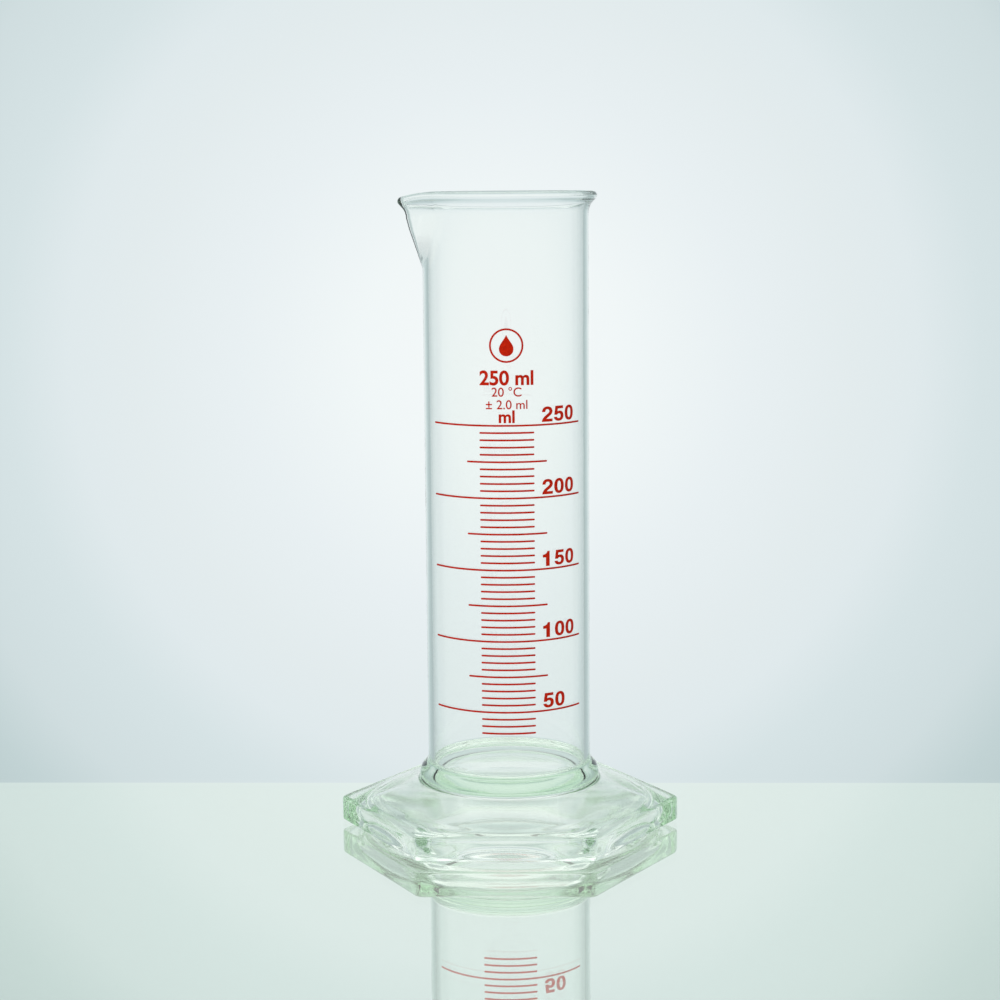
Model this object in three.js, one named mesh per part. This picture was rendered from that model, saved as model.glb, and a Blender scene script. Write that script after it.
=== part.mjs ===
// A low-form measuring cylinder of clear glass: a round tube with a beaded rim and a pouring
// spout, standing in a six-sided pressed foot, with a red enamel scale on its front.
// Units are millimetres. +Z is up, the base is at z = 0, the tube's axis is the Z axis,
// the spout points to -X and the scale faces -Y.

import * as THREE from 'three';

// Driving dimensions
const STEPS = 60;                 // facets round the tube and the foot
const TUBE_OUTER = 27.7;
const TUBE_WALL = 1.85;
const TUBE_INNER = TUBE_OUTER - TUBE_WALL;
const TUBE_BASE = 18.2;           // underside of the tube's closed end
const BORE_FLOOR = 21.05;
const BORE_FILLET = 2.2;
const BASE_CHAMFER = 1.2;

const RIM_TOP = 215.05;
const BEAD = 1.5;                 // radius of the fire-polished bead along the rim
const BEAD_RADIUS = 29.05;        // distance from the axis to the bead's centre
const BEAD_Z = RIM_TOP - BEAD;
const FLARE_START = 207.5;

const SPOUT_START = 189.6;
const SPOUT_SLOPE = 0.312;        // outward run per mm of rise
const SPOUT_REACH = 5.3;          // how far the lip stands out from the round rim
const SPOUT_TIP = 5;              // radius of the spout's rounded outer corner, seen from above
const SPOUT_WALL = 1.3;
const SPOUT_DIP = 1.6;            // how much lower the pouring lip is than the rest of the rim

const FOOT_FLAT = 50.3;           // from the axis to each flat side
const FOOT_CORNER_ROUND = 2.5;
const FOOT_EDGE = 7.6;            // top of the upright side faces
const FOOT_ROUND = 1.3;
const CORNER_LIFT = 0.55;         // clearance under the foot outside its contact ring
const RING_INNER = 47;            // the flat ring that the foot stands on
const RING_OUTER = 48.6;
const HOLLOW_TOP = 16.2;          // highest point of the hollow under the foot
const HOLLOW_CORNER_ROUND = 8;
const DOME_RADIUS = 46;
const DOME_EDGE = 9.9;
const NECK_RADIUS = 30.3;
const NECK_Z = 16.5;
const COLLAR_RADIUS = 30.7;
const COLLAR_TOP = 22.1;
const SEAT_GAP = 0.3;             // clearance between the tube and its seat in the foot

const FULL_VOLUME = 250;          // ml
const FIRST_VOLUME = 35;
const VOLUME_STEP = 5;
const FULL_LINE_Z = 139.87;
const MM_PER_ML = 1000 / (Math.PI * TUBE_INNER ** 2);
const LINE_HEIGHT = 0.6;
const SCALE_TURN = 1.6;           // the scale's centre line, in degrees round from -Y towards +X
const HALF_SPAN = { long: 58.5, medium: 28.1, short: 18.8 };   // degrees either side of it
const STRIP_STEP = 7;             // longest facet of a printed strip, in degrees

const ENAMEL_GAP = 0.1;
const ENAMEL = 0.15;
const NUMERAL_HEIGHT = 5;
const NUMERAL_PITCH = 4.57;
const NUMERAL_START = 24.3;       // degrees from the centre line to the first numeral's left edge
const NUMERAL_LIFT = 0.9;        // from the line's centre to the numerals' foot
const CURVE_STEPS = 4;

const rad = THREE.MathUtils.degToRad;

// Materials
const clearGlass = () => new THREE.MeshStandardMaterial({
  color: 0xdcefe4, roughness: 0.03, metalness: 0, transparent: true, opacity: 0.35,
});
const redEnamel = () => new THREE.MeshStandardMaterial({
  color: 0xc52a0c, roughness: 0.45, metalness: 0,
});

// A closed body made of rings round the Z axis. A ring gives [radius, height] for an azimuth.
// The profile starts on the axis at startZ and ends on it at endZ, with the solid on its left.
function ringedSolid(startZ, rings, endZ) {
  const points = [0, 0, startZ];
  for (const ring of rings) {
    for (let i = 0; i < STEPS; i++) {
      const azimuth = (2 * Math.PI * i) / STEPS;
      const [radius, z] = ring(azimuth);
      points.push(radius * Math.cos(azimuth), radius * Math.sin(azimuth), z);
    }
  }
  points.push(0, 0, endZ);
  const last = points.length / 3 - 1;
  const at = (ring, i) => 1 + ring * STEPS + (i % STEPS);
  const faces = [];
  for (let i = 0; i < STEPS; i++) {
    faces.push(0, at(0, i + 1), at(0, i));
    for (let ring = 0; ring + 1 < rings.length; ring++) {
      const [a, b] = [at(ring, i), at(ring, i + 1)];
      const [c, d] = [at(ring + 1, i), at(ring + 1, i + 1)];
      faces.push(a, b, d, a, d, c);
    }
    faces.push(last, at(rings.length - 1, i), at(rings.length - 1, i + 1));
  }
  const geometry = new THREE.BufferGeometry();
  geometry.setAttribute('position', new THREE.Float32BufferAttribute(points, 3));
  geometry.setIndex(faces);
  geometry.computeVertexNormals();
  return geometry;
}

const round = (radius, z) => () => [radius, z];

// Points on a quarter or other arc in the radius-height plane, angles in degrees.
function arc(centreRadius, centreZ, size, from, to, count) {
  return Array.from({ length: count }, (_, i) => {
    const angle = rad(from + ((to - from) * i) / (count - 1));
    return [centreRadius + size * Math.cos(angle), centreZ + size * Math.sin(angle)];
  });
}

// Distance from the axis to a round outline pulled out at -X into a rounded corner:
// the round part and the corner's small circle are joined by their common tangents.
function spoutOutline(radius, reach, tip, azimuth) {
  const centre = radius + reach - tip;
  const off = Math.abs(Math.PI - azimuth);
  const touch = Math.acos(Math.min(1, (radius - tip) / centre));
  if (off >= touch) return radius;
  const corner = Math.atan2(tip * Math.sin(touch), centre + tip * Math.cos(touch));
  if (off > corner) return radius / Math.cos(touch - off);
  return centre * Math.cos(off) + Math.sqrt(tip ** 2 - (centre * Math.sin(off)) ** 2);
}

// A ring of the tube's wall, pulled out and down where the spout is.
function spouted(radius, z, tip, extra) {
  const wanted = SPOUT_SLOPE * (z - SPOUT_START);
  const reach = Math.min(wanted, SPOUT_REACH) + Math.min(extra, 0.3 * wanted);
  if (reach <= 0) return round(radius, z);
  const full = SPOUT_DIP * THREE.MathUtils.smoothstep(z, SPOUT_START, RIM_TOP);
  return (azimuth) => {
    const out = spoutOutline(radius, reach, tip, azimuth);
    return [out, z - (full * (out - radius)) / reach];
  };
}

function tube() {
  const outside = [
    [TUBE_OUTER - BASE_CHAMFER, TUBE_BASE],
    ...arc(TUBE_OUTER - BASE_CHAMFER, TUBE_BASE + BASE_CHAMFER, BASE_CHAMFER, -45, 0, 2),
    [TUBE_OUTER, SPOUT_START],
    [TUBE_OUTER, SPOUT_START + 5],
    [TUBE_OUTER, SPOUT_START + 10],
    [TUBE_OUTER, FLARE_START],
    [TUBE_OUTER + 0.5, FLARE_START + 2.4],
    [TUBE_OUTER + 1.4, FLARE_START + 3.9],
    ...arc(BEAD_RADIUS, BEAD_Z, BEAD, -40, 90, 5),
  ];
  const inside = [
    ...arc(BEAD_RADIUS, BEAD_Z, BEAD, 125, 195, 3),
    [TUBE_INNER + 0.7, FLARE_START + 3.9],
    [TUBE_INNER, FLARE_START],
    [TUBE_INNER, SPOUT_START + 10],
    [TUBE_INNER, SPOUT_START + 5],
    [TUBE_INNER, SPOUT_START],
    ...arc(TUBE_INNER - BORE_FILLET, BORE_FLOOR + BORE_FILLET, BORE_FILLET, 0, -90, 4),
  ];
  const tipInside = SPOUT_TIP - SPOUT_WALL;
  const reachInside = TUBE_WALL - SPOUT_WALL;
  const rings = [
    ...outside.map(([radius, z]) => spouted(radius, z, SPOUT_TIP, 0)),
    ...inside.map(([radius, z]) => spouted(radius, z, tipInside, reachInside)),
  ];
  return ringedSolid(TUBE_BASE, rings, BORE_FLOOR);
}

// A ring with six flat sides and rounded corners. Corners lie at azimuth 0, 60, 120 degrees.
// share blends it with a round ring, from 0 for round to 1 for six-sided.
function sixSided(flat, cornerRound, z, share = 1) {
  const sector = rad(60);
  const centre = (flat - cornerRound) / Math.cos(sector / 2);
  const tangent = [centre + cornerRound * Math.cos(sector / 2), cornerRound * Math.sin(sector / 2)];
  const touch = Math.atan2(tangent[1], tangent[0]);
  return (azimuth) => {
    const off = Math.abs(azimuth - sector * Math.round(azimuth / sector));
    const side = flat / Math.cos(sector / 2 - off);
    const corner = centre * Math.cos(off) + Math.sqrt(cornerRound ** 2 - (centre * Math.sin(off)) ** 2);
    return [THREE.MathUtils.lerp(flat, off > touch ? side : corner, share), z];
  };
}

// The pressed foot is a shell: its hollow is round at the contact ring, six-sided a little
// further up and round again under the dome and the tube.
function foot() {
  const hollow = [
    [18, 16, 0], [22, 15.7, 0], [26, 14.8, 0], [30, 13.2, 0], [33, 11.8, 0], [36, 10.4, 0.1],
    [38.6, 9, 0.4], [40.4, 7.6, 0.75], [41.6, 6, 0.95], [42.2, 4.4, 0.95], [43, 3, 0.8],
    [44.4, 1.9, 0.45], [46.4, 0.8, 0],
  ].map(([flat, z, share]) => sixSided(flat, HOLLOW_CORNER_ROUND, z, share));
  const rise = NECK_Z - DOME_EDGE;
  const run = DOME_RADIUS - NECK_RADIUS;
  const dome = [0, 0.25, 0.5, 0.75, 1].map((t) =>
    round(DOME_RADIUS - run * t, DOME_EDGE + rise * (0.8 * t + 0.2 * t ** 2)));
  const outline = [
    [0.7, CORNER_LIFT],
    [0, CORNER_LIFT + 0.7],
    [0, FOOT_EDGE],
    [0.3 * FOOT_ROUND, FOOT_EDGE + 0.7 * FOOT_ROUND],
    [FOOT_ROUND, FOOT_EDGE + FOOT_ROUND],
  ].map(([inset, z]) => sixSided(FOOT_FLAT - inset, FOOT_CORNER_ROUND, z));
  const rings = [
    ...hollow,
    round(RING_INNER, 0),
    round(RING_OUTER, 0),
    round(RING_OUTER + 0.4, CORNER_LIFT - 0.1),
    ...outline,
    round(DOME_RADIUS + 1, FOOT_EDGE + FOOT_ROUND + 0.2),
    ...dome,
    round(COLLAR_RADIUS, NECK_Z + 1.2),
    round(COLLAR_RADIUS - 0.5, NECK_Z + 3),
    round(COLLAR_RADIUS - 1.5, COLLAR_TOP - 0.9),
    round(TUBE_OUTER + 0.9, COLLAR_TOP),
    round(TUBE_OUTER + SEAT_GAP, COLLAR_TOP - 0.2),
    round(TUBE_OUTER + SEAT_GAP, TUBE_BASE + BASE_CHAMFER / 2),
    round(TUBE_OUTER + SEAT_GAP - BASE_CHAMFER, TUBE_BASE - SEAT_GAP),
  ];
  return ringedSolid(HOLLOW_TOP, rings, TUBE_BASE - SEAT_GAP);
}

// Enamel lies on the tube: x runs round it from the scale's centre line, y runs up.
function wrapped(x, y, depth) {
  const radius = TUBE_OUTER + ENAMEL_GAP + depth;
  const azimuth = x / TUBE_OUTER + rad(SCALE_TURN);
  return [radius * Math.sin(azimuth), -radius * Math.cos(azimuth), y];
}

function scaleLine(z, halfSpan) {
  const count = Math.ceil((2 * halfSpan) / STRIP_STEP);
  const half = LINE_HEIGHT / 2;
  const points = [];
  for (let i = 0; i <= count; i++) {
    const x = TUBE_OUTER * rad(halfSpan * ((2 * i) / count - 1));
    points.push(...wrapped(x, z - half, 0), ...wrapped(x, z - half, ENAMEL));
    points.push(...wrapped(x, z + half, ENAMEL), ...wrapped(x, z + half, 0));
  }
  const faces = [0, 1, 2, 0, 2, 3];
  for (let i = 0; i < count; i++) {
    for (let side = 0; side < 4; side++) {
      const [a, b] = [4 * i + side, 4 * i + ((side + 1) % 4)];
      faces.push(a, b + 4, b, a, a + 4, b + 4);
    }
  }
  const end = 4 * count;
  faces.push(end, end + 2, end + 1, end, end + 3, end + 2);
  const geometry = new THREE.BufferGeometry();
  geometry.setAttribute('position', new THREE.Float32BufferAttribute(points, 3));
  geometry.setIndex(faces);
  geometry.computeVertexNormals();
  return geometry;
}

// Outlines of the bold numerals, one unit high: a start, then a point for each straight side
// and two handles and a point for each curve. A second outline is a hole.
function oval(left, right, low, high) {
  const [x, y] = [(left + right) / 2, (low + high) / 2];
  const [dx, dy] = [(0.64 * (right - left)) / 2, (0.64 * (high - low)) / 2];
  return [
    [right, y], [right, y + dy, x + dx, high, x, high], [x - dx, high, left, y + dy, left, y],
    [left, y - dy, x - dx, low, x, low], [x + dx, low, right, y - dy, right, y],
  ];
}

const NUMERALS = {
  0: [oval(0, 0.8, 0, 1), oval(0.25, 0.55, 0.18, 0.82)],
  1: [[
    [0.25, 0], [0.53, 0], [0.53, 1], [0.36, 1], [0.33, 0.86, 0.2, 0.78, 0.02, 0.77], [0.02, 0.58],
    [0.25, 0.58],
  ]],
  2: [[
    [0, 0], [0.8, 0], [0.8, 0.19], [0.34, 0.19], [0.48, 0.34, 0.8, 0.42, 0.8, 0.69],
    [0.8, 0.88, 0.63, 1, 0.41, 1], [0.17, 1, 0.02, 0.86, 0.02, 0.64], [0.25, 0.64],
    [0.26, 0.76, 0.31, 0.82, 0.41, 0.82], [0.5, 0.82, 0.56, 0.76, 0.56, 0.68],
    [0.56, 0.5, 0.03, 0.4, 0, 0],
  ]],
  5: [[
    [0, 0.28], [0.02, 0.1, 0.18, 0, 0.39, 0], [0.64, 0, 0.8, 0.14, 0.8, 0.34],
    [0.8, 0.54, 0.65, 0.67, 0.46, 0.67], [0.39, 0.67, 0.33, 0.66, 0.29, 0.63], [0.32, 0.81],
    [0.76, 0.81], [0.76, 1], [0.12, 1], [0.03, 0.42], [0.25, 0.4],
    [0.29, 0.46, 0.34, 0.49, 0.4, 0.49], [0.5, 0.49, 0.55, 0.43, 0.55, 0.34],
    [0.55, 0.24, 0.49, 0.18, 0.4, 0.18], [0.32, 0.18, 0.26, 0.22, 0.24, 0.28],
  ]],
};

function traced(path, [start, ...steps]) {
  path.moveTo(...start);
  for (const step of steps) {
    if (step.length === 2) path.lineTo(...step);
    else path.bezierCurveTo(...step);
  }
  return path;
}

function numeral(digit, x, z) {
  const [outline, ...holes] = NUMERALS[digit];
  const shape = traced(new THREE.Shape(), outline);
  shape.holes.push(...holes.map((hole) => traced(new THREE.Path(), hole)));
  const geometry = new THREE.ExtrudeGeometry(shape, {
    depth: ENAMEL, bevelEnabled: false, curveSegments: CURVE_STEPS,
  });
  const place = geometry.attributes.position;
  for (let i = 0; i < place.count; i++) {
    const across = x + NUMERAL_HEIGHT * place.getX(i);
    const up = z + NUMERAL_HEIGHT * place.getY(i);
    place.setXYZ(i, ...wrapped(across, up, place.getZ(i)));
  }
  geometry.computeVertexNormals();
  return geometry;
}

const lineZ = (volume) => FULL_LINE_Z - (FULL_VOLUME - volume) * MM_PER_ML;

function spanOf(volume) {
  if (volume % 50 === 0) return HALF_SPAN.long;
  return volume % 25 === 0 ? HALF_SPAN.medium : HALF_SPAN.short;
}

const cylinder = new THREE.Group();

function add(name, geometry, material) {
  const mesh = new THREE.Mesh(geometry, material);
  mesh.name = name;
  cylinder.add(mesh);
}

add('measuring_tube', tube(), clearGlass());
add('hexagonal_foot', foot(), clearGlass());

for (let volume = FIRST_VOLUME; volume <= FULL_VOLUME; volume += VOLUME_STEP) {
  const label = String(volume).padStart(3, '0');
  add(`line_${label}_ml`, scaleLine(lineZ(volume), spanOf(volume)), redEnamel());
}

for (let volume = 50; volume <= FULL_VOLUME; volume += 50) {
  [...String(volume)].forEach((digit, i) => {
    const x = TUBE_OUTER * rad(NUMERAL_START) + i * NUMERAL_PITCH;
    const name = `numeral_${volume}_digit${i + 1}`;
    add(name, numeral(digit, x, lineZ(volume) + NUMERAL_LIFT), redEnamel());
  });
}

export default cylinder;
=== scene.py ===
"""A low-form glass measuring cylinder with a red enamel scale, on a glossy pale table."""

from math import acos, atan2, ceil, cos, pi, radians, sin, sqrt

import bmesh
import bpy
from mathutils import Matrix, Vector, noise


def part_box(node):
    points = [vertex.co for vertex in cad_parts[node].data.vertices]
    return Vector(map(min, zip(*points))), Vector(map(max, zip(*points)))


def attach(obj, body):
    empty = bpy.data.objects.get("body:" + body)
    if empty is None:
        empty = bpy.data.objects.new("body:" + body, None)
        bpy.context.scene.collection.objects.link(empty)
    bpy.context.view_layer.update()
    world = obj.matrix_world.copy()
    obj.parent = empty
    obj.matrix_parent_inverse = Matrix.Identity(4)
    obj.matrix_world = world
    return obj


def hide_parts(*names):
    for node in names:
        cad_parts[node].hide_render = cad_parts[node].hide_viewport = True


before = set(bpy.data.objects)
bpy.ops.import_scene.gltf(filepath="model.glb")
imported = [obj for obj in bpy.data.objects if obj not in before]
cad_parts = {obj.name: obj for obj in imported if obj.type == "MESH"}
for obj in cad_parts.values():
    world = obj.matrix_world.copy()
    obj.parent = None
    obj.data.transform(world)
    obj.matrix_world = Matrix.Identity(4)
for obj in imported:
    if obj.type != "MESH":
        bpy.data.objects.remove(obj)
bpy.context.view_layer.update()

MM = 0.001
MILLILITRE = 1e-6

# Sizes that the frame holds
_, tube_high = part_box("measuring_tube")
_, foot_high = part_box("hexagonal_foot")
RIM_TOP = tube_high.z
COLLAR_TOP = foot_high.z
FOOT_FLAT = foot_high.y

# The tube
STEPS = 240
TUBE_OUTER = 27.7 * MM
TUBE_INNER = 25.85 * MM
BORE_FLOOR = 21.05 * MM
BORE_FILLET = 2.2 * MM
BEAD = 1.5 * MM
BEAD_RADIUS = 29.05 * MM
BEAD_Z = RIM_TOP - BEAD
FLOOR_EDGE = 1 * MM
ABOVE_FILLET = (1.5 * MM, 0.5 * MM)
FLARE_START = 207.5 * MM
# The wall's flare into the bead: how far out from the straight wall, and how far over FLARE_START
OUTER_FLARE = [(0.12 * MM, 1.2 * MM), (0.5 * MM, 2.5 * MM), (1.1 * MM, 3.5 * MM), (1.8 * MM, 4.3 * MM)]
INNER_FLARE = [(1.0 * MM, 4.3 * MM), (0.5 * MM, 3 * MM), (0.12 * MM, 1.4 * MM)]

# The spout, pulled out of the tube's wall at -X. SPOUT_THINNING is how much further its inside may
# be pulled, as a share of the pull, until the wall is SPOUT_WALL. SPOUT_LEVELS are the heights of
# its rings, in mm over SPOUT_START.
SPOUT_START = 189.6 * MM
SPOUT_SLOPE = 0.312
SPOUT_REACH = 5.3 * MM
SPOUT_TIP = 5 * MM
SPOUT_WALL = 1.7 * MM
SPOUT_THINNING = 0.12
SPOUT_DIP = 1.6 * MM
SPOUT_LEVELS = range(-1, 15)

# The foot's slab and the ring it stands on
FOOT_EDGE = 7.6 * MM
FOOT_ROUND = 1.3 * MM
FOOT_CORNER_ROUND = 3 * MM
FOOT_LOW_ROUND = 0.6 * MM
FOOT_LOW_FACE = 0.9 * MM
CORNER_LIFT = 0.55 * MM
RING_INNER = 47 * MM
RING_OUTER = 48.6 * MM
RING_INNER_ROUND = 0.4 * MM
# The ring's outer edge: how far out from RING_OUTER, and the height
RING_EDGE = [(0, 0), (0.2 * MM, 0.1 * MM), (0.4 * MM, CORNER_LIFT * 0.8)]

# The foot's dome and collar
DOME_RADIUS = 46 * MM
DOME_EDGE = 9.9 * MM
DOME_STEPS = 12
DOME_CURVE = 0.2
# The crease between slab and dome: how far out from the dome, and how far over the slab
DOME_CREASE = [(1.2 * MM, 0.15 * MM), (0.5 * MM, 0.5 * MM)]
NECK_RADIUS = 30.3 * MM
NECK_Z = 16.5 * MM
COLLAR_RADIUS = 30.7 * MM
# The collar's rounding: how far in from COLLAR_RADIUS, and how far over the neck
COLLAR_ROUND = [(0.05 * MM, 0.7 * MM), (0, 1.4 * MM), (0.3 * MM, 2.6 * MM), (0.9 * MM, 3.8 * MM),
                (1.8 * MM, 4.9 * MM)]
# Where the collar runs out on the tube: how far out from the tube, and how far over the collar
COLLAR_END = [(0.4 * MM, -0.1 * MM), (0, 0.6 * MM), (0, 1.2 * MM), (0, 2 * MM)]

# The hollow under the foot, in mm: distance of its flat sides, height, share of the six-sided shape
HOLLOW = [(17, 16.1, 0), (21, 15.9, 0), (24, 15.4, 0), (27, 14.5, 0), (30, 13.2, 0), (33, 11.8, 0),
          (36, 10.4, 0.1), (38.6, 9.0, 0.4), (40.4, 7.6, 0.75), (41.6, 6.0, 0.95), (42.2, 4.4, 0.95),
          (43.0, 3.0, 0.8), (44.2, 2.0, 0.5), (45.6, 1.3, 0.2), (46.6, 0.7, 0), (47.0, 0.2, 0)]
HOLLOW_TOP = 16.2 * MM
HOLLOW_CORNER = 8 * MM
# Nearer the axis than POLISHED_CENTRE, in mm, the hollow has only POLISHED_SHARE of its roughness
POLISHED_CENTRE = 25
POLISHED_SHARE = 0.3


def lerp(a, b, t):
    """The value that lies the share t of the way from a to b."""
    return a + (b - a) * t


def smooth(t):
    """The share t, eased in and out."""
    t = min(1.0, max(0.0, t))
    return t * t * (3 - 2 * t)


def arc(radius, z, size, start, end, count):
    """Points on an arc in the radius-height plane, angles in degrees."""
    turns = [radians(lerp(start, end, i / (count - 1))) for i in range(count)]
    return [(radius + size * cos(a), z + size * sin(a)) for a in turns]


def spout_outline(radius, reach, tip, azimuth):
    """Radius of a round outline pulled out at -X into a rounded corner."""
    centre = radius + reach - tip
    off = abs(pi - azimuth)
    touch = acos(min(1.0, (radius - tip) / centre))
    if off >= touch:
        return radius
    corner = atan2(tip * sin(touch), centre + tip * cos(touch))
    if off > corner:
        return radius / cos(touch - off)
    return centre * cos(off) + sqrt(tip**2 - (centre * sin(off)) ** 2)


def spouted(radius, z, tip, extra):
    """A ring of the tube's wall, pulled out and down where the spout is, and up to extra further."""
    wanted = SPOUT_SLOPE * (z - SPOUT_START)
    reach = min(wanted, SPOUT_REACH) + min(extra, SPOUT_THINNING * wanted)
    if reach <= 0:
        return round_ring(radius, z)
    dip = SPOUT_DIP * smooth((z - SPOUT_START) / (RIM_TOP - SPOUT_START))

    def ring(azimuth):
        out = spout_outline(radius, reach, tip, azimuth)
        return out, z - dip * (out - radius) / reach

    return ring


def round_ring(radius, z):
    """A ring gives its radius and height at an azimuth. This one is a plain circle."""
    return lambda azimuth: (radius, z)


def six_sided(flat, corner, z):
    """A ring with six flat sides at the distance flat, and corners rounded by corner."""
    side = radians(60)
    half = side / 2
    centre = (flat - corner) / cos(half)
    touch = atan2(corner / 2, centre + corner * cos(half))

    def ring(azimuth):
        off = abs(azimuth - side * round(azimuth / side))
        if off > touch:
            return flat / cos(half - off), z
        return centre * cos(off) + sqrt(corner**2 - (centre * sin(off)) ** 2), z

    return ring


def mixed_ring(first, second, share):
    """A ring between two others, share being how much of the second it takes."""

    def ring(azimuth):
        (r1, z1), (r2, z2) = first(azimuth), second(azimuth)
        return lerp(r1, r2, share), lerp(z1, z2, share)

    return ring


def mark_moulded(layer, centre, loops):
    """Marks the hollow, whose rings come first, with how moulded and so how rough it is."""
    centre[layer] = POLISHED_SHARE
    for loop, (flat, _, _) in zip(loops, HOLLOW):
        for vert in loop:
            vert[layer] = POLISHED_SHARE if flat < POLISHED_CENTRE else 1


def ringed_mesh(name, start_z, rings, end_z):
    """A closed mesh of rings round the Z axis, from the axis at start_z to the axis at end_z."""
    bm = bmesh.new()
    moulded = bm.verts.layers.float.new("moulded")
    first = bm.verts.new((0, 0, start_z))
    loops = []
    for ring in rings:
        loop = []
        for i in range(STEPS):
            azimuth = 2 * pi * i / STEPS
            radius, z = ring(azimuth)
            loop.append(bm.verts.new((radius * cos(azimuth), radius * sin(azimuth), z)))
        loops.append(loop)
    last = bm.verts.new((0, 0, end_z))
    for i in range(STEPS):
        j = (i + 1) % STEPS
        bm.faces.new((first, loops[0][j], loops[0][i]))
        for low, high in zip(loops, loops[1:]):
            bm.faces.new((low[i], low[j], high[j], high[i]))
        bm.faces.new((last, loops[-1][i], loops[-1][j]))
    for face in bm.faces:
        face.smooth = True
    mark_moulded(moulded, first, loops)
    mesh = bpy.data.meshes.new(name)
    bm.to_mesh(mesh)
    bm.free()
    return place(name, mesh)


def place(name, data):
    """A new object in the scene, made of a mesh, curve, light or camera."""
    piece = bpy.data.objects.new(name, data)
    bpy.context.scene.collection.objects.link(piece)
    return piece


def hollow_rings():
    rings = []
    for flat, z, share in HOLLOW:
        plain = round_ring(flat * MM, z * MM)
        rings.append(mixed_ring(plain, six_sided(flat * MM, HOLLOW_CORNER, z * MM), share))
    return rings


def slab_rings():
    """The ring the foot stands on, and the six-sided slab with its rounded edges."""
    rings = [round_ring(RING_INNER + RING_INNER_ROUND, 0)]
    rings += [round_ring(RING_OUTER + out, z) for out, z in RING_EDGE]
    rings.append(six_sided(FOOT_FLAT - FOOT_LOW_FACE, FOOT_CORNER_ROUND, CORNER_LIFT))
    quarter = [radians(turn) for turn in range(0, 91, 15)]
    for a in quarter:
        flat = FOOT_FLAT - FOOT_LOW_ROUND * (1 - sin(a))
        rings.append(six_sided(flat, FOOT_CORNER_ROUND, CORNER_LIFT + FOOT_LOW_ROUND * (1 - cos(a))))
    for a in quarter:
        flat = FOOT_FLAT - FOOT_ROUND * (1 - cos(a))
        rings.append(six_sided(flat, FOOT_CORNER_ROUND, FOOT_EDGE + FOOT_ROUND * sin(a)))
    return rings


def dome_rings():
    shoulder = FOOT_EDGE + FOOT_ROUND
    rings = [round_ring(DOME_RADIUS + out, shoulder + up) for out, up in DOME_CREASE]
    for i in range(DOME_STEPS + 1):
        t = i / DOME_STEPS
        rise = (1 - DOME_CURVE) * t + DOME_CURVE * t * t
        rings.append(round_ring(lerp(DOME_RADIUS, NECK_RADIUS, t), lerp(DOME_EDGE, NECK_Z, rise)))
    return rings


def collar_rings():
    rings = [round_ring(COLLAR_RADIUS - inward, NECK_Z + up) for inward, up in COLLAR_ROUND]
    return rings + [round_ring(TUBE_OUTER + out, COLLAR_TOP + up) for out, up in COLLAR_END]


def wall_rings():
    """The tube's wall: up its outside, over the bead and down its inside to the bore's floor."""
    heights = [SPOUT_START + level * MM for level in SPOUT_LEVELS]
    outside = [(TUBE_OUTER, z) for z in heights + [FLARE_START]]
    outside += [(TUBE_OUTER + out, FLARE_START + up) for out, up in OUTER_FLARE]
    outside += arc(BEAD_RADIUS, BEAD_Z, BEAD, start=-45, end=90, count=10)
    inside = arc(BEAD_RADIUS, BEAD_Z, BEAD, start=105, end=200, count=7)
    inside += [(TUBE_INNER + out, FLARE_START + up) for out, up in INNER_FLARE]
    inside += [(TUBE_INNER, z) for z in [FLARE_START] + heights[::-1]]
    fillet_z = BORE_FLOOR + BORE_FILLET
    inside += [(TUBE_INNER, fillet_z + up) for up in ABOVE_FILLET]
    inside += arc(TUBE_INNER - BORE_FILLET, fillet_z, BORE_FILLET, start=0, end=-90, count=10)
    thinner = TUBE_OUTER - TUBE_INNER - SPOUT_WALL
    rings = [spouted(radius, z, SPOUT_TIP, 0) for radius, z in outside]
    rings += [spouted(radius, z, SPOUT_TIP - SPOUT_WALL, thinner) for radius, z in inside]
    rings.append(round_ring(TUBE_INNER - BORE_FILLET - FLOOR_EDGE, BORE_FLOOR))
    return rings


def new_tree(name):
    """A new material and its empty node tree."""
    material = bpy.data.materials.new(name)
    material.use_nodes = True
    material.node_tree.nodes.clear()
    return material, material.node_tree


def node(tree, kind, **settings):
    """A new node with its settings."""
    made = tree.nodes.new(kind)
    for key, value in settings.items():
        setattr(made, key, value)
    return made


def set_stops(ramp, stops):
    """Gives a colour ramp its stops: the position and the colour of each."""
    elements = ramp.color_ramp.elements
    while len(elements) < len(stops):
        elements.new(0.5)
    for element, (position, colour) in zip(elements, stops):
        element.position = position
        element.color = colour + (1,)


def bump(tree, texture, height, normal=None):
    """A bump that stands height at the texture's full strength, on top of another bump."""
    made = node(tree, "ShaderNodeBump")
    made.inputs["Distance"].default_value = height
    tree.links.new(texture.outputs["Fac"], made.inputs["Height"])
    if normal is not None:
        tree.links.new(normal.outputs[0], made.inputs["Normal"])
    return made


def noise_texture(tree, coordinates, cells, detail):
    """Noise with a number of cells a metre along each axis."""
    stretch = node(tree, "ShaderNodeVectorMath", operation="MULTIPLY")
    stretch.inputs[1].default_value = cells
    texture = node(tree, "ShaderNodeTexNoise")
    texture.inputs["Scale"].default_value = 1
    texture.inputs["Detail"].default_value = detail
    tree.links.new(coordinates.outputs["Object"], stretch.inputs[0])
    tree.links.new(stretch.outputs[0], texture.inputs["Vector"])
    return texture


# The glass
GLASS_IOR = 1.5
GLASS_TINT = (0.62, 0.90, 0.60, 1)
GLASS_DENSITY = 10
CAVITY_ROUGHNESS = 0.1
SMEAR_ROUGHNESS = 0.03
SMEAR_CELLS = (130, 130, 60)
SMEAR_FROM = 0.45
SMEAR_TO = 0.8
DRAW_LINE_CELLS = (450, 450, 6)
DRAW_LINE_HEIGHT = 0.003 * MM
WAVE_CELLS = (110, 110, 110)
WAVE_HEIGHT = 0.02 * MM


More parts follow.
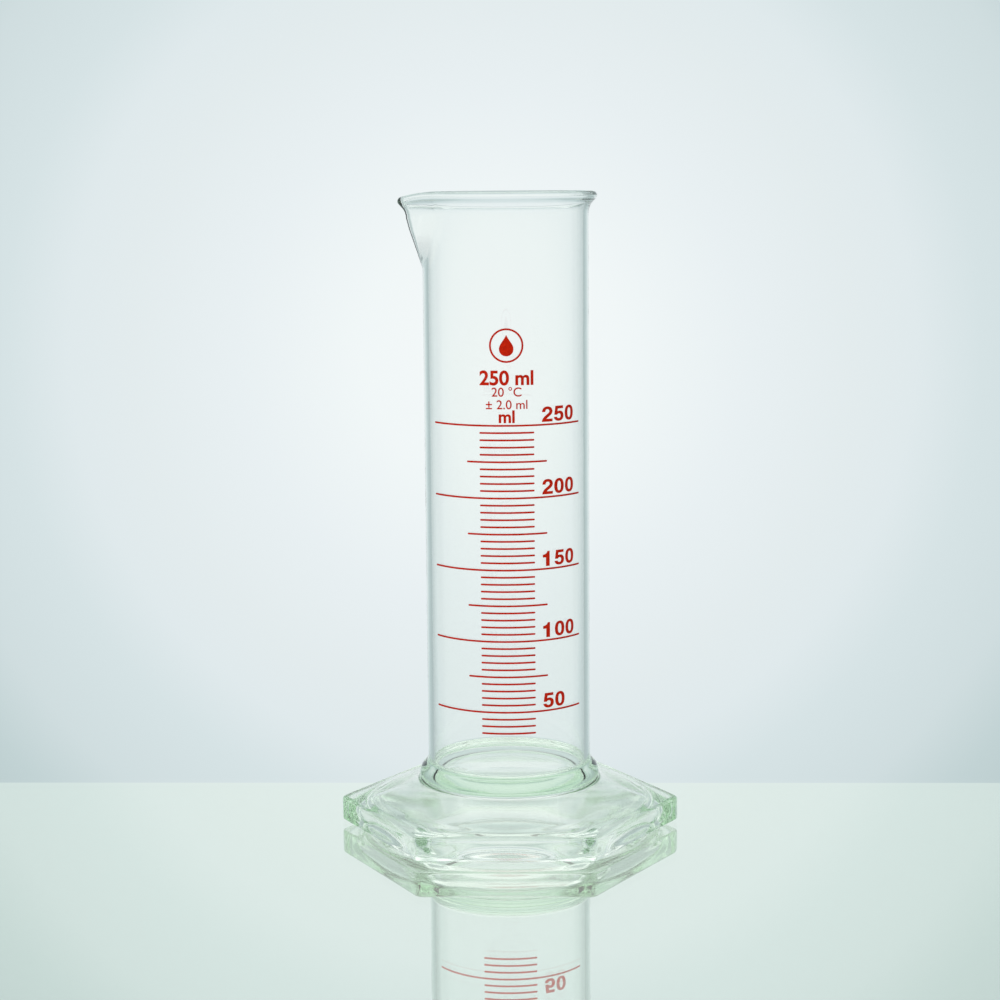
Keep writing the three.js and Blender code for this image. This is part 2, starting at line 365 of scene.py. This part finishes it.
def glass_roughness(tree, coordinates):
    """Faint smears on the surface, and the moulded roughness of the hollow."""
    smears = noise_texture(tree, coordinates, SMEAR_CELLS, detail=4)
    smeared = node(tree, "ShaderNodeMapRange")
    smeared.inputs["From Min"].default_value = SMEAR_FROM
    smeared.inputs["From Max"].default_value = SMEAR_TO
    smeared.inputs["To Max"].default_value = SMEAR_ROUGHNESS
    moulded = node(tree, "ShaderNodeAttribute", attribute_name="moulded")
    rough = node(tree, "ShaderNodeMath", operation="MULTIPLY_ADD")
    rough.inputs[1].default_value = CAVITY_ROUGHNESS
    tree.links.new(smears.outputs["Fac"], smeared.inputs["Value"])
    tree.links.new(moulded.outputs["Fac"], rough.inputs[0])
    tree.links.new(smeared.outputs[0], rough.inputs[2])
    return rough


def glass_material():
    """Clear soda glass with upright draw lines and shallow waves, and green where it is deep."""
    material, tree = new_tree("clear_glass")
    out = node(tree, "ShaderNodeOutputMaterial")
    shader = node(tree, "ShaderNodeBsdfPrincipled")
    shader.inputs["Base Color"].default_value = (1, 1, 1, 1)
    shader.inputs["IOR"].default_value = GLASS_IOR
    shader.inputs["Transmission Weight"].default_value = 1
    coordinates = node(tree, "ShaderNodeTexCoord")
    tree.links.new(glass_roughness(tree, coordinates).outputs[0], shader.inputs["Roughness"])
    drawn = noise_texture(tree, coordinates, DRAW_LINE_CELLS, detail=2)
    draw_lines = bump(tree, drawn, DRAW_LINE_HEIGHT)
    wavy = noise_texture(tree, coordinates, WAVE_CELLS, detail=1)
    waves = bump(tree, wavy, WAVE_HEIGHT, draw_lines)
    tree.links.new(waves.outputs[0], shader.inputs["Normal"])
    volume = node(tree, "ShaderNodeVolumeAbsorption")
    volume.inputs["Color"].default_value = GLASS_TINT
    volume.inputs["Density"].default_value = GLASS_DENSITY
    tree.links.new(shader.outputs[0], out.inputs["Surface"])
    tree.links.new(volume.outputs[0], out.inputs["Volume"])
    return material


all_rings = hollow_rings() + slab_rings() + dome_rings() + collar_rings() + wall_rings()
body = ringed_mesh("glass_body", HOLLOW_TOP, all_rings, BORE_FLOOR)
body.data.materials.append(glass_material())
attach(body, "root")
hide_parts("measuring_tube", "hexagonal_foot")


# The printed scale. A flat outline lies in the unrolled surface of the tube: x runs round it from the
# scale's centre line, y is the height.
SCALE_TURN = radians(1.6)
FULL_VOLUME = 250
FIRST_VOLUME = 35
VOLUME_STEP = 5
MEDIUM_STEP = 25
LONG_STEP = 50
FULL_LINE_Z = 139.87 * MM
PER_ML = MILLILITRE / (pi * TUBE_INNER**2)
LINE_HEIGHT = 0.6 * MM
HALF_SPAN = {"long": radians(58.5), "medium": radians(28.1), "short": radians(18.8)}
ENAMEL = 0.05 * MM
SUNK = 0.01 * MM
CUT = 0.5 * MM
SHARP_ANGLE = radians(30)
NUMERAL_HEIGHT = 5 * MM
NUMERAL_PITCH = 4.57 * MM
NUMERAL_START = radians(24.3)
NUMERAL_LIFT = 0.9 * MM
CURVE_STEPS = 8
OVAL_HANDLE = 0.64
ROUND_HANDLE = 0.552
CAP_ANGLES = (20, 45, 70)
# A line's edges waver by up to this share of half its thickness, over about this length. Its lower
# and its upper edge take their noise from two places.
UNEVEN = 0.06
UNEVEN_LENGTH = 1.5 * MM
EDGE_PLACES = (0, 0.01)
# In an outline's own units, points closer than MERGED become one, and an outline is closed when
# its ends are closer than CLOSED. Points closer than ON_PLANE, in metres, lie on a cutting plane.
MERGED = 1e-5
CLOSED = 1e-6
ON_PLANE = 1e-7


def wrapped(x, y, depth):
    """A point of the unrolled surface, on the tube and standing off it by depth."""
    radius = TUBE_OUTER + depth
    azimuth = x / TUBE_OUTER + SCALE_TURN
    return radius * sin(azimuth), -radius * cos(azimuth), y


def enamel_piece(name, flat, cad_nodes):
    """A closed layer of enamel on the tube, from flat faces in its unrolled surface."""
    flat.verts.ensure_lookup_table()
    flat.verts.index_update()
    bm = bmesh.new()
    inner = [bm.verts.new(wrapped(v.co.x, v.co.y, -SUNK)) for v in flat.verts]
    outer = [bm.verts.new(wrapped(v.co.x, v.co.y, ENAMEL)) for v in flat.verts]
    for face in flat.faces:
        order = [v.index for v in face.verts]
        bm.faces.new([outer[i] for i in order])
        bm.faces.new([inner[i] for i in reversed(order)])
    for edge in flat.edges:
        if len(edge.link_faces) == 1:
            corner = edge.link_loops[0]
            a, b = corner.vert.index, corner.link_loop_next.vert.index
            bm.faces.new((inner[a], inner[b], outer[b], outer[a]))
    mesh = bpy.data.meshes.new(name)
    bm.to_mesh(mesh)
    bm.free()
    flat.free()
    mesh.shade_smooth()
    mesh.set_sharp_from_angle(angle=SHARP_ANGLE)
    mesh.materials.append(enamel)
    piece = place(name, mesh)
    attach(piece, "root")
    if cad_nodes:
        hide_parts(*cad_nodes)


def scale_line(name, z, half_span):
    """A line round the tube with rounded ends, its edges slightly uneven as on any screen print."""
    half = LINE_HEIGHT / 2
    length = TUBE_OUTER * half_span
    caps = [(half * (1 - cos(radians(a))), sin(radians(a))) for a in CAP_ANGLES]
    count = ceil(2 * (length - half) / CUT)
    columns = [(-length + run, share) for run, share in caps]
    columns += [(lerp(-length + half, length - half, i / count), 1) for i in range(count + 1)]
    columns += [(length - run, share) for run, share in reversed(caps)]
    flat = bmesh.new()
    rows = []
    for x, share in columns:
        places = [Vector((x, z, edge)) / UNEVEN_LENGTH for edge in EDGE_PLACES]
        below, above = (half * share * (1 + UNEVEN * noise.noise(at)) for at in places)
        rows.append((flat.verts.new((x, z - below, 0)), flat.verts.new((x, z + above, 0))))
    for (low, high), (next_low, next_high) in zip(rows, rows[1:]):
        flat.faces.new((low, next_low, next_high, high))
    enamel_piece("enamel_" + name, flat, [name])


def flat_faces(curve, size, x, y, centred=False):
    """The filled flat faces of a curve, scaled and placed, and cut into narrow upright bands."""
    outline = place("outline", curve)
    view = bpy.context.evaluated_depsgraph_get()
    mesh = bpy.data.meshes.new_from_object(outline.evaluated_get(view))
    bpy.data.objects.remove(outline)
    flat = bmesh.new()
    flat.from_mesh(mesh)
    bmesh.ops.remove_doubles(flat, verts=flat.verts, dist=MERGED)
    across = [v.co.x for v in flat.verts]
    middle = (min(across) + max(across)) / 2 if centred else 0
    for v in flat.verts:
        v.co = (x + size * (v.co.x - middle), y + size * v.co.y, 0)
    for face in flat.faces:
        face.normal_update()
    if sum(face.normal.z * face.calc_area() for face in flat.faces) < 0:
        bmesh.ops.reverse_faces(flat, faces=flat.faces)
    left, right = (end(v.co.x for v in flat.verts) for end in (min, max))
    for i in range(1, ceil((right - left) / CUT)):
        everything = flat.verts[:] + flat.edges[:] + flat.faces[:]
        cut_at = (left + i * CUT, 0, 0)
        bmesh.ops.bisect_plane(flat, geom=everything, dist=ON_PLANE, plane_co=cut_at, plane_no=(1, 0, 0))
    return flat


def oval(left, right, low, high, handle=OVAL_HANDLE):
    """An oval as a start and four curves. handle says how square it is."""
    x, y = (left + right) / 2, (low + high) / 2
    dx, dy = handle * (right - left) / 2, handle * (high - low) / 2
    return [(right, y), (right, y + dy, x + dx, high, x, high), (x - dx, high, left, y + dy, left, y),
            (left, y - dy, x - dx, low, x, low), (x + dx, low, right, y - dy, right, y)]


# Outlines of the bold numerals, one unit high: a start, then a point for each straight side
# and two handles and a point for each curve.
NUMERALS = {
    "0": [oval(0, 0.8, 0, 1), oval(0.25, 0.55, 0.18, 0.82)],
    "1": [[(0.25, 0), (0.53, 0), (0.53, 1), (0.36, 1), (0.33, 0.86, 0.2, 0.78, 0.02, 0.77), (0.02, 0.58),
           (0.25, 0.58)]],
    "2": [[(0, 0), (0.8, 0), (0.8, 0.19), (0.34, 0.19), (0.48, 0.34, 0.8, 0.42, 0.8, 0.69),
           (0.8, 0.88, 0.63, 1, 0.41, 1), (0.17, 1, 0.02, 0.86, 0.02, 0.64), (0.25, 0.64),
           (0.26, 0.76, 0.31, 0.82, 0.41, 0.82), (0.5, 0.82, 0.56, 0.76, 0.56, 0.68),
           (0.56, 0.5, 0.03, 0.4, 0, 0)]],
    "5": [[(0, 0.28), (0.02, 0.1, 0.18, 0, 0.39, 0), (0.64, 0, 0.8, 0.14, 0.8, 0.34),
           (0.8, 0.54, 0.65, 0.67, 0.46, 0.67), (0.39, 0.67, 0.33, 0.66, 0.29, 0.63), (0.32, 0.81),
           (0.76, 0.81), (0.76, 1), (0.12, 1), (0.03, 0.42), (0.25, 0.4),
           (0.29, 0.46, 0.34, 0.49, 0.4, 0.49), (0.5, 0.49, 0.55, 0.43, 0.55, 0.34),
           (0.55, 0.24, 0.49, 0.18, 0.4, 0.18), (0.32, 0.18, 0.26, 0.22, 0.24, 0.28)]],
}


def outline_points(path):
    """The points along an outline, with each curve taken in short steps."""
    points = [path[0]]
    for step in path[1:]:
        if len(step) == 2:
            points.append(step)
            continue
        start = Vector(points[-1])
        first, second, end = Vector(step[0:2]), Vector(step[2:4]), Vector(step[4:6])
        for i in range(1, CURVE_STEPS + 1):
            t = i / CURVE_STEPS
            u = 1 - t
            points.append(tuple(u**3 * start + 3 * u**2 * t * first + 3 * u * t**2 * second + t**3 * end))
    if (Vector(points[0]) - Vector(points[-1])).length < CLOSED:
        points.pop()
    return points


def filled_curve(name, paths):
    """A flat curve with the area between its outlines filled."""
    curve = bpy.data.curves.new(name, "CURVE")
    curve.dimensions = "2D"
    curve.fill_mode = "BOTH"
    for path in paths:
        points = outline_points(path)
        spline = curve.splines.new("POLY")
        spline.points.add(len(points) - 1)
        for point, (x, y) in zip(spline.points, points):
            point.co = (x, y, 0, 1)
        spline.use_cyclic_u = True
    return curve


def line_z(volume):
    """The height of a volume's line, as the bore holds that volume between two lines."""
    return FULL_LINE_Z - (FULL_VOLUME - volume) * PER_ML


def span_of(volume):
    """Half the angle that a volume's line covers."""
    if volume % LONG_STEP == 0:
        return HALF_SPAN["long"]
    return HALF_SPAN["medium"] if volume % MEDIUM_STEP == 0 else HALF_SPAN["short"]


def scale():
    """The lines, each at its volume, and the numerals over the long lines."""
    for volume in range(FIRST_VOLUME, FULL_VOLUME + 1, VOLUME_STEP):
        scale_line(f"line_{volume:03}_ml", line_z(volume), span_of(volume))
    for volume in range(LONG_STEP, FULL_VOLUME + 1, LONG_STEP):
        foot = line_z(volume) + NUMERAL_LIFT
        for i, digit in enumerate(str(volume)):
            cad = f"numeral_{volume}_digit{i + 1}"
            x = TUBE_OUTER * NUMERAL_START + i * NUMERAL_PITCH
            flat = flat_faces(filled_curve(cad, NUMERALS[digit]), NUMERAL_HEIGHT, x, foot)
            enamel_piece("enamel_" + cad, flat, [cad])


# Lettering above the scale: the words, their height, the height of their foot, their boldness
LETTERING = {
    "capacity": ("250 ml", 4.5 * MM, 153.2 * MM, 0.028),
    "temperature": ("20 \u00b0C", 2.9 * MM, 149.4 * MM, 0.008),
    "tolerance": ("\u00b1 2.0 ml", 2.9 * MM, 145.3 * MM, 0.008),
    "unit": ("ml", 3.9 * MM, 140.9 * MM, 0.028),
}
# Height of a capital letter of the built-in font at size 1
CAPITAL = 0.69
EMBLEM_Z = 165.9 * MM
EMBLEM_RADIUS = 5.6 * MM
EMBLEM_LINE = 0.62 * MM
# The drop's outline, in units of the ring's radius
DROP = [(0, 0.62), (0.14, 0.3, 0.42, 0.08, 0.42, -0.2), (0.42, -0.45, 0.23, -0.62, 0, -0.62),
        (-0.23, -0.62, -0.42, -0.45, -0.42, -0.2), (-0.42, 0.08, -0.14, 0.3, 0, 0.62)]


def emblem():
    """A plain ring with a drop in it."""
    inner = 1 - EMBLEM_LINE / EMBLEM_RADIUS
    ring = [oval(-1, 1, -1, 1, ROUND_HANDLE), oval(-inner, inner, -inner, inner, ROUND_HANDLE)]
    flat = flat_faces(filled_curve("emblem", ring + [DROP]), EMBLEM_RADIUS, 0, EMBLEM_Z)
    enamel_piece("enamel_emblem", flat, [])


def lettering():
    """The words above the scale, each centred on the scale's centre line."""
    for name, (words, height, foot, bold) in LETTERING.items():
        curve = bpy.data.curves.new(name, "FONT")
        curve.body = words
        curve.offset = bold
        flat = flat_faces(curve, height / CAPITAL, 0, foot, centred=True)
        enamel_piece("enamel_" + name, flat, [])


# The enamel
ENAMEL_STOPS = [(0.3, (0.36, 0.008, 0.0006)), (0.7, (0.48, 0.014, 0.0010))]
ENAMEL_ROUGHNESS = (0.38, 0.58)
ENAMEL_SPECULAR = 0.06
MOTTLE_SCALE = 900
GRAIN_SCALE = 6000
GRAIN_HEIGHT = 0.008 * MM
GRAIN_STRENGTH = 0.35


def enamel_material():
    """Fired screen-print enamel: slightly mottled, with a fine grain."""
    material = bpy.data.materials.new("red_enamel")
    material.use_nodes = True
    tree = material.node_tree
    shader = tree.nodes["Principled BSDF"]
    shader.inputs["Specular IOR Level"].default_value = ENAMEL_SPECULAR
    coordinates = node(tree, "ShaderNodeTexCoord")
    mottle = node(tree, "ShaderNodeTexNoise")
    mottle.inputs["Scale"].default_value = MOTTLE_SCALE
    mottle.inputs["Detail"].default_value = 3
    grain = node(tree, "ShaderNodeTexNoise")
    grain.inputs["Scale"].default_value = GRAIN_SCALE
    grain.inputs["Detail"].default_value = 2
    colour = node(tree, "ShaderNodeValToRGB")
    set_stops(colour, ENAMEL_STOPS)
    rough = node(tree, "ShaderNodeMapRange")
    rough.inputs["To Min"].default_value = ENAMEL_ROUGHNESS[0]
    rough.inputs["To Max"].default_value = ENAMEL_ROUGHNESS[1]
    relief = bump(tree, grain, GRAIN_HEIGHT)
    relief.inputs["Strength"].default_value = GRAIN_STRENGTH
    for texture in (mottle, grain):
        tree.links.new(coordinates.outputs["Object"], texture.inputs["Vector"])
    tree.links.new(mottle.outputs["Fac"], colour.inputs[0])
    tree.links.new(colour.outputs[0], shader.inputs["Base Color"])
    tree.links.new(mottle.outputs["Fac"], rough.inputs["Value"])
    tree.links.new(rough.outputs[0], shader.inputs["Roughness"])
    tree.links.new(relief.outputs[0], shader.inputs["Normal"])
    return material


enamel = enamel_material()
scale()
emblem()
lettering()


# Studio. BACK_STOPS are the backdrop's colours by distance in metres from its bright centre.
# STUDIO_STOPS are the colours of the surroundings by the sine of the angle over the horizon.
BACK_CENTRE = (-0.04, 0.08)
BACK_STOPS = [(0.0, (0.905, 0.94, 0.945)), (0.10, (0.88, 0.93, 0.935)), (0.20, (0.81, 0.87, 0.89)),
              (0.28, (0.768, 0.835, 0.85)), (0.33, (0.745, 0.82, 0.84)), (0.38, (0.675, 0.768, 0.785)),
              (0.45, (0.63, 0.725, 0.74)), (0.50, (0.54, 0.65, 0.66)), (0.60, (0.45, 0.55, 0.56)),
              (1.0, (0.42, 0.5, 0.5))]
BACK_Y = 1.0
BACK_HALF_WIDTH = 1.5
BACK_LOW = -0.8
BACK_HIGH = 1.6
STUDIO_STOPS = [(0.28, (0.5, 0.58, 0.56)), (0.65, (0.96, 1, 0.985)), (1.0, (0.72, 0.76, 0.745))]
STUDIO_STRENGTH = 1.35
TABLE_EDGE = 0.053
TABLE_REACH = 2
TABLE_SURFACE = -0.05 * MM
TABLE_MIRROR = -1.33 * MM
TABLE_GLOSS = 0.06
MIRROR_SHARE = 0.80
MIRROR_TINT = (0.84, 0.90, 0.855, 1)
# Painted light: the table's base under the mirror glows with this colour instead of being lit, which
# leaves no shade under the foot
TABLE_PAINTED_GLOW = (1.08, 1.15, 1.08, 1)
WHITE = (1, 1, 1, 1)


def stage_plane(name, corners, material):
    """A flat sheet that is staging."""
    mesh = bpy.data.meshes.new(name)
    mesh.from_pydata(corners, [], [(0, 1, 2, 3)])
    mesh.materials.append(material)
    place(name, mesh)


def backdrop_material():
    """A backdrop that gives its own light, brightest at its centre."""
    material, tree = new_tree("backdrop")
    out = node(tree, "ShaderNodeOutputMaterial")
    light = node(tree, "ShaderNodeEmission")
    coordinates = node(tree, "ShaderNodeTexCoord")
    flat = node(tree, "ShaderNodeMapping")
    flat.inputs["Location"].default_value = (-BACK_CENTRE[0], 0, -BACK_CENTRE[1])
    flat.inputs["Scale"].default_value = (1, 0, 1)
    distance = node(tree, "ShaderNodeVectorMath", operation="LENGTH")
    ramp = node(tree, "ShaderNodeValToRGB")
    set_stops(ramp, BACK_STOPS)
    tree.links.new(coordinates.outputs["Object"], flat.inputs["Vector"])
    tree.links.new(flat.outputs[0], distance.inputs[0])
    tree.links.new(distance.outputs["Value"], ramp.inputs[0])
    tree.links.new(ramp.outputs[0], light.inputs["Color"])
    tree.links.new(light.outputs[0], out.inputs["Surface"])
    return material


def table_material(name, share, tint, glow):
    """A mirror of a given share and tint, over a glowing base or, without a glow, over nothing. The glow
    is painted light: the base shines evenly instead of being lit, so no shade falls under the foot.
    """
    material, tree = new_tree(name)
    out = node(tree, "ShaderNodeOutputMaterial")
    mix = node(tree, "ShaderNodeMixShader")
    gloss = node(tree, "ShaderNodeBsdfGlossy")
    gloss.inputs["Roughness"].default_value = 0.0
    gloss.inputs["Color"].default_value = tint
    if glow is None:
        under = node(tree, "ShaderNodeBsdfTransparent")
    else:
        under = node(tree, "ShaderNodeEmission")
        under.inputs["Color"].default_value = glow
    mix.inputs["Fac"].default_value = share
    tree.links.new(under.outputs[0], mix.inputs[1])
    tree.links.new(gloss.outputs[0], mix.inputs[2])
    tree.links.new(mix.outputs[0], out.inputs["Surface"])
    return material


def table_corners(z):
    """Corners of a sheet of the table, whose far edge is close behind the foot."""
    far = TABLE_REACH
    return [(-far, -far, z), (far, -far, z), (far, TABLE_EDGE, z), (-far, TABLE_EDGE, z)]


def stage():
    """The backdrop and the table, whose glossy surface and mirror give the foot two reflections."""
    wide = BACK_HALF_WIDTH
    corners = [(-wide, BACK_Y, BACK_LOW), (wide, BACK_Y, BACK_LOW), (wide, BACK_Y, BACK_HIGH),
               (-wide, BACK_Y, BACK_HIGH)]
    stage_plane("backdrop", corners, backdrop_material())
    surface = table_material("table_gloss", TABLE_GLOSS, WHITE, None)
    stage_plane("table_surface", table_corners(TABLE_SURFACE), surface)
    mirror = table_material("table_mirror", MIRROR_SHARE, MIRROR_TINT, TABLE_PAINTED_GLOW)
    stage_plane("table_mirror", table_corners(TABLE_MIRROR), mirror)


def surroundings():
    """A soft studio: darkest from the horizon down, brightest 40 degrees up, softer overhead."""
    world = bpy.data.worlds.new("studio")
    bpy.context.scene.world = world
    world.use_nodes = True
    tree = world.node_tree
    light = tree.nodes["Background"]
    light.inputs["Strength"].default_value = STUDIO_STRENGTH
    coordinates = node(tree, "ShaderNodeTexCoord")
    split = node(tree, "ShaderNodeSeparateXYZ")
    ramp = node(tree, "ShaderNodeValToRGB")
    set_stops(ramp, STUDIO_STOPS)
    tree.links.new(coordinates.outputs["Generated"], split.inputs[0])
    tree.links.new(split.outputs["Z"], ramp.inputs[0])
    tree.links.new(ramp.outputs[0], light.inputs["Color"])


def softbox(name, place_at, aim_at, size, power):
    """A square lamp that lights surfaces and isn't seen in or through the glass."""
    data = bpy.data.lights.new(name, "AREA")
    data.shape = "SQUARE"
    data.size = size
    data.energy = power
    light = place(name, data)
    light.location = place_at
    light.visible_glossy = False
    light.visible_transmission = False
    light.rotation_euler = (Vector(place_at) - Vector(aim_at)).to_track_quat("Z", "Y").to_euler()


stage()
surroundings()
softbox("front_softbox", place_at=(-0.35, -0.75, 1.1), aim_at=(0, 0, 0.1), size=0.7, power=9)

# Camera: its place in metres, its angles in radians, and its lens and sensor in mm. TURN takes it
# round the object with the scale.
DISTANCE = 0.7586
HEIGHT = 0.2212
TURN = SCALE_TURN
PITCH = 0.14348
YAW = -0.00327
ROLL = -0.008
LENS = 81.61
SENSOR = 36

# How often a ray of light may bounce
GLASS_BOUNCES = 24
GLOSSY_BOUNCES = 16


def camera():
    """The camera, turned with the scale and looking slightly down."""
    data = bpy.data.cameras.new("camera")
    data.lens = LENS
    data.sensor_width = SENSOR
    made = place("camera", data)
    forward = Vector((sin(YAW) * cos(PITCH), cos(YAW) * cos(PITCH), -sin(PITCH)))
    side = Vector((cos(YAW), -sin(YAW), 0))
    up = side.cross(forward)
    right = side * cos(ROLL) + up * sin(ROLL)
    above = -side * sin(ROLL) + up * cos(ROLL)
    pose = Matrix((right, above, -forward)).transposed().to_4x4()
    pose.translation = (0, -DISTANCE, HEIGHT)
    made.matrix_world = Matrix.Rotation(TURN, 4, "Z") @ pose
    return made


scene = bpy.context.scene
scene.camera = camera()
scene.view_settings.view_transform = "Standard"
scene.view_settings.look = "None"
scene.cycles.max_bounces = GLASS_BOUNCES
scene.cycles.transmission_bounces = GLASS_BOUNCES
scene.cycles.glossy_bounces = GLOSSY_BOUNCES
scene.cycles.transparent_max_bounces = GLASS_BOUNCES
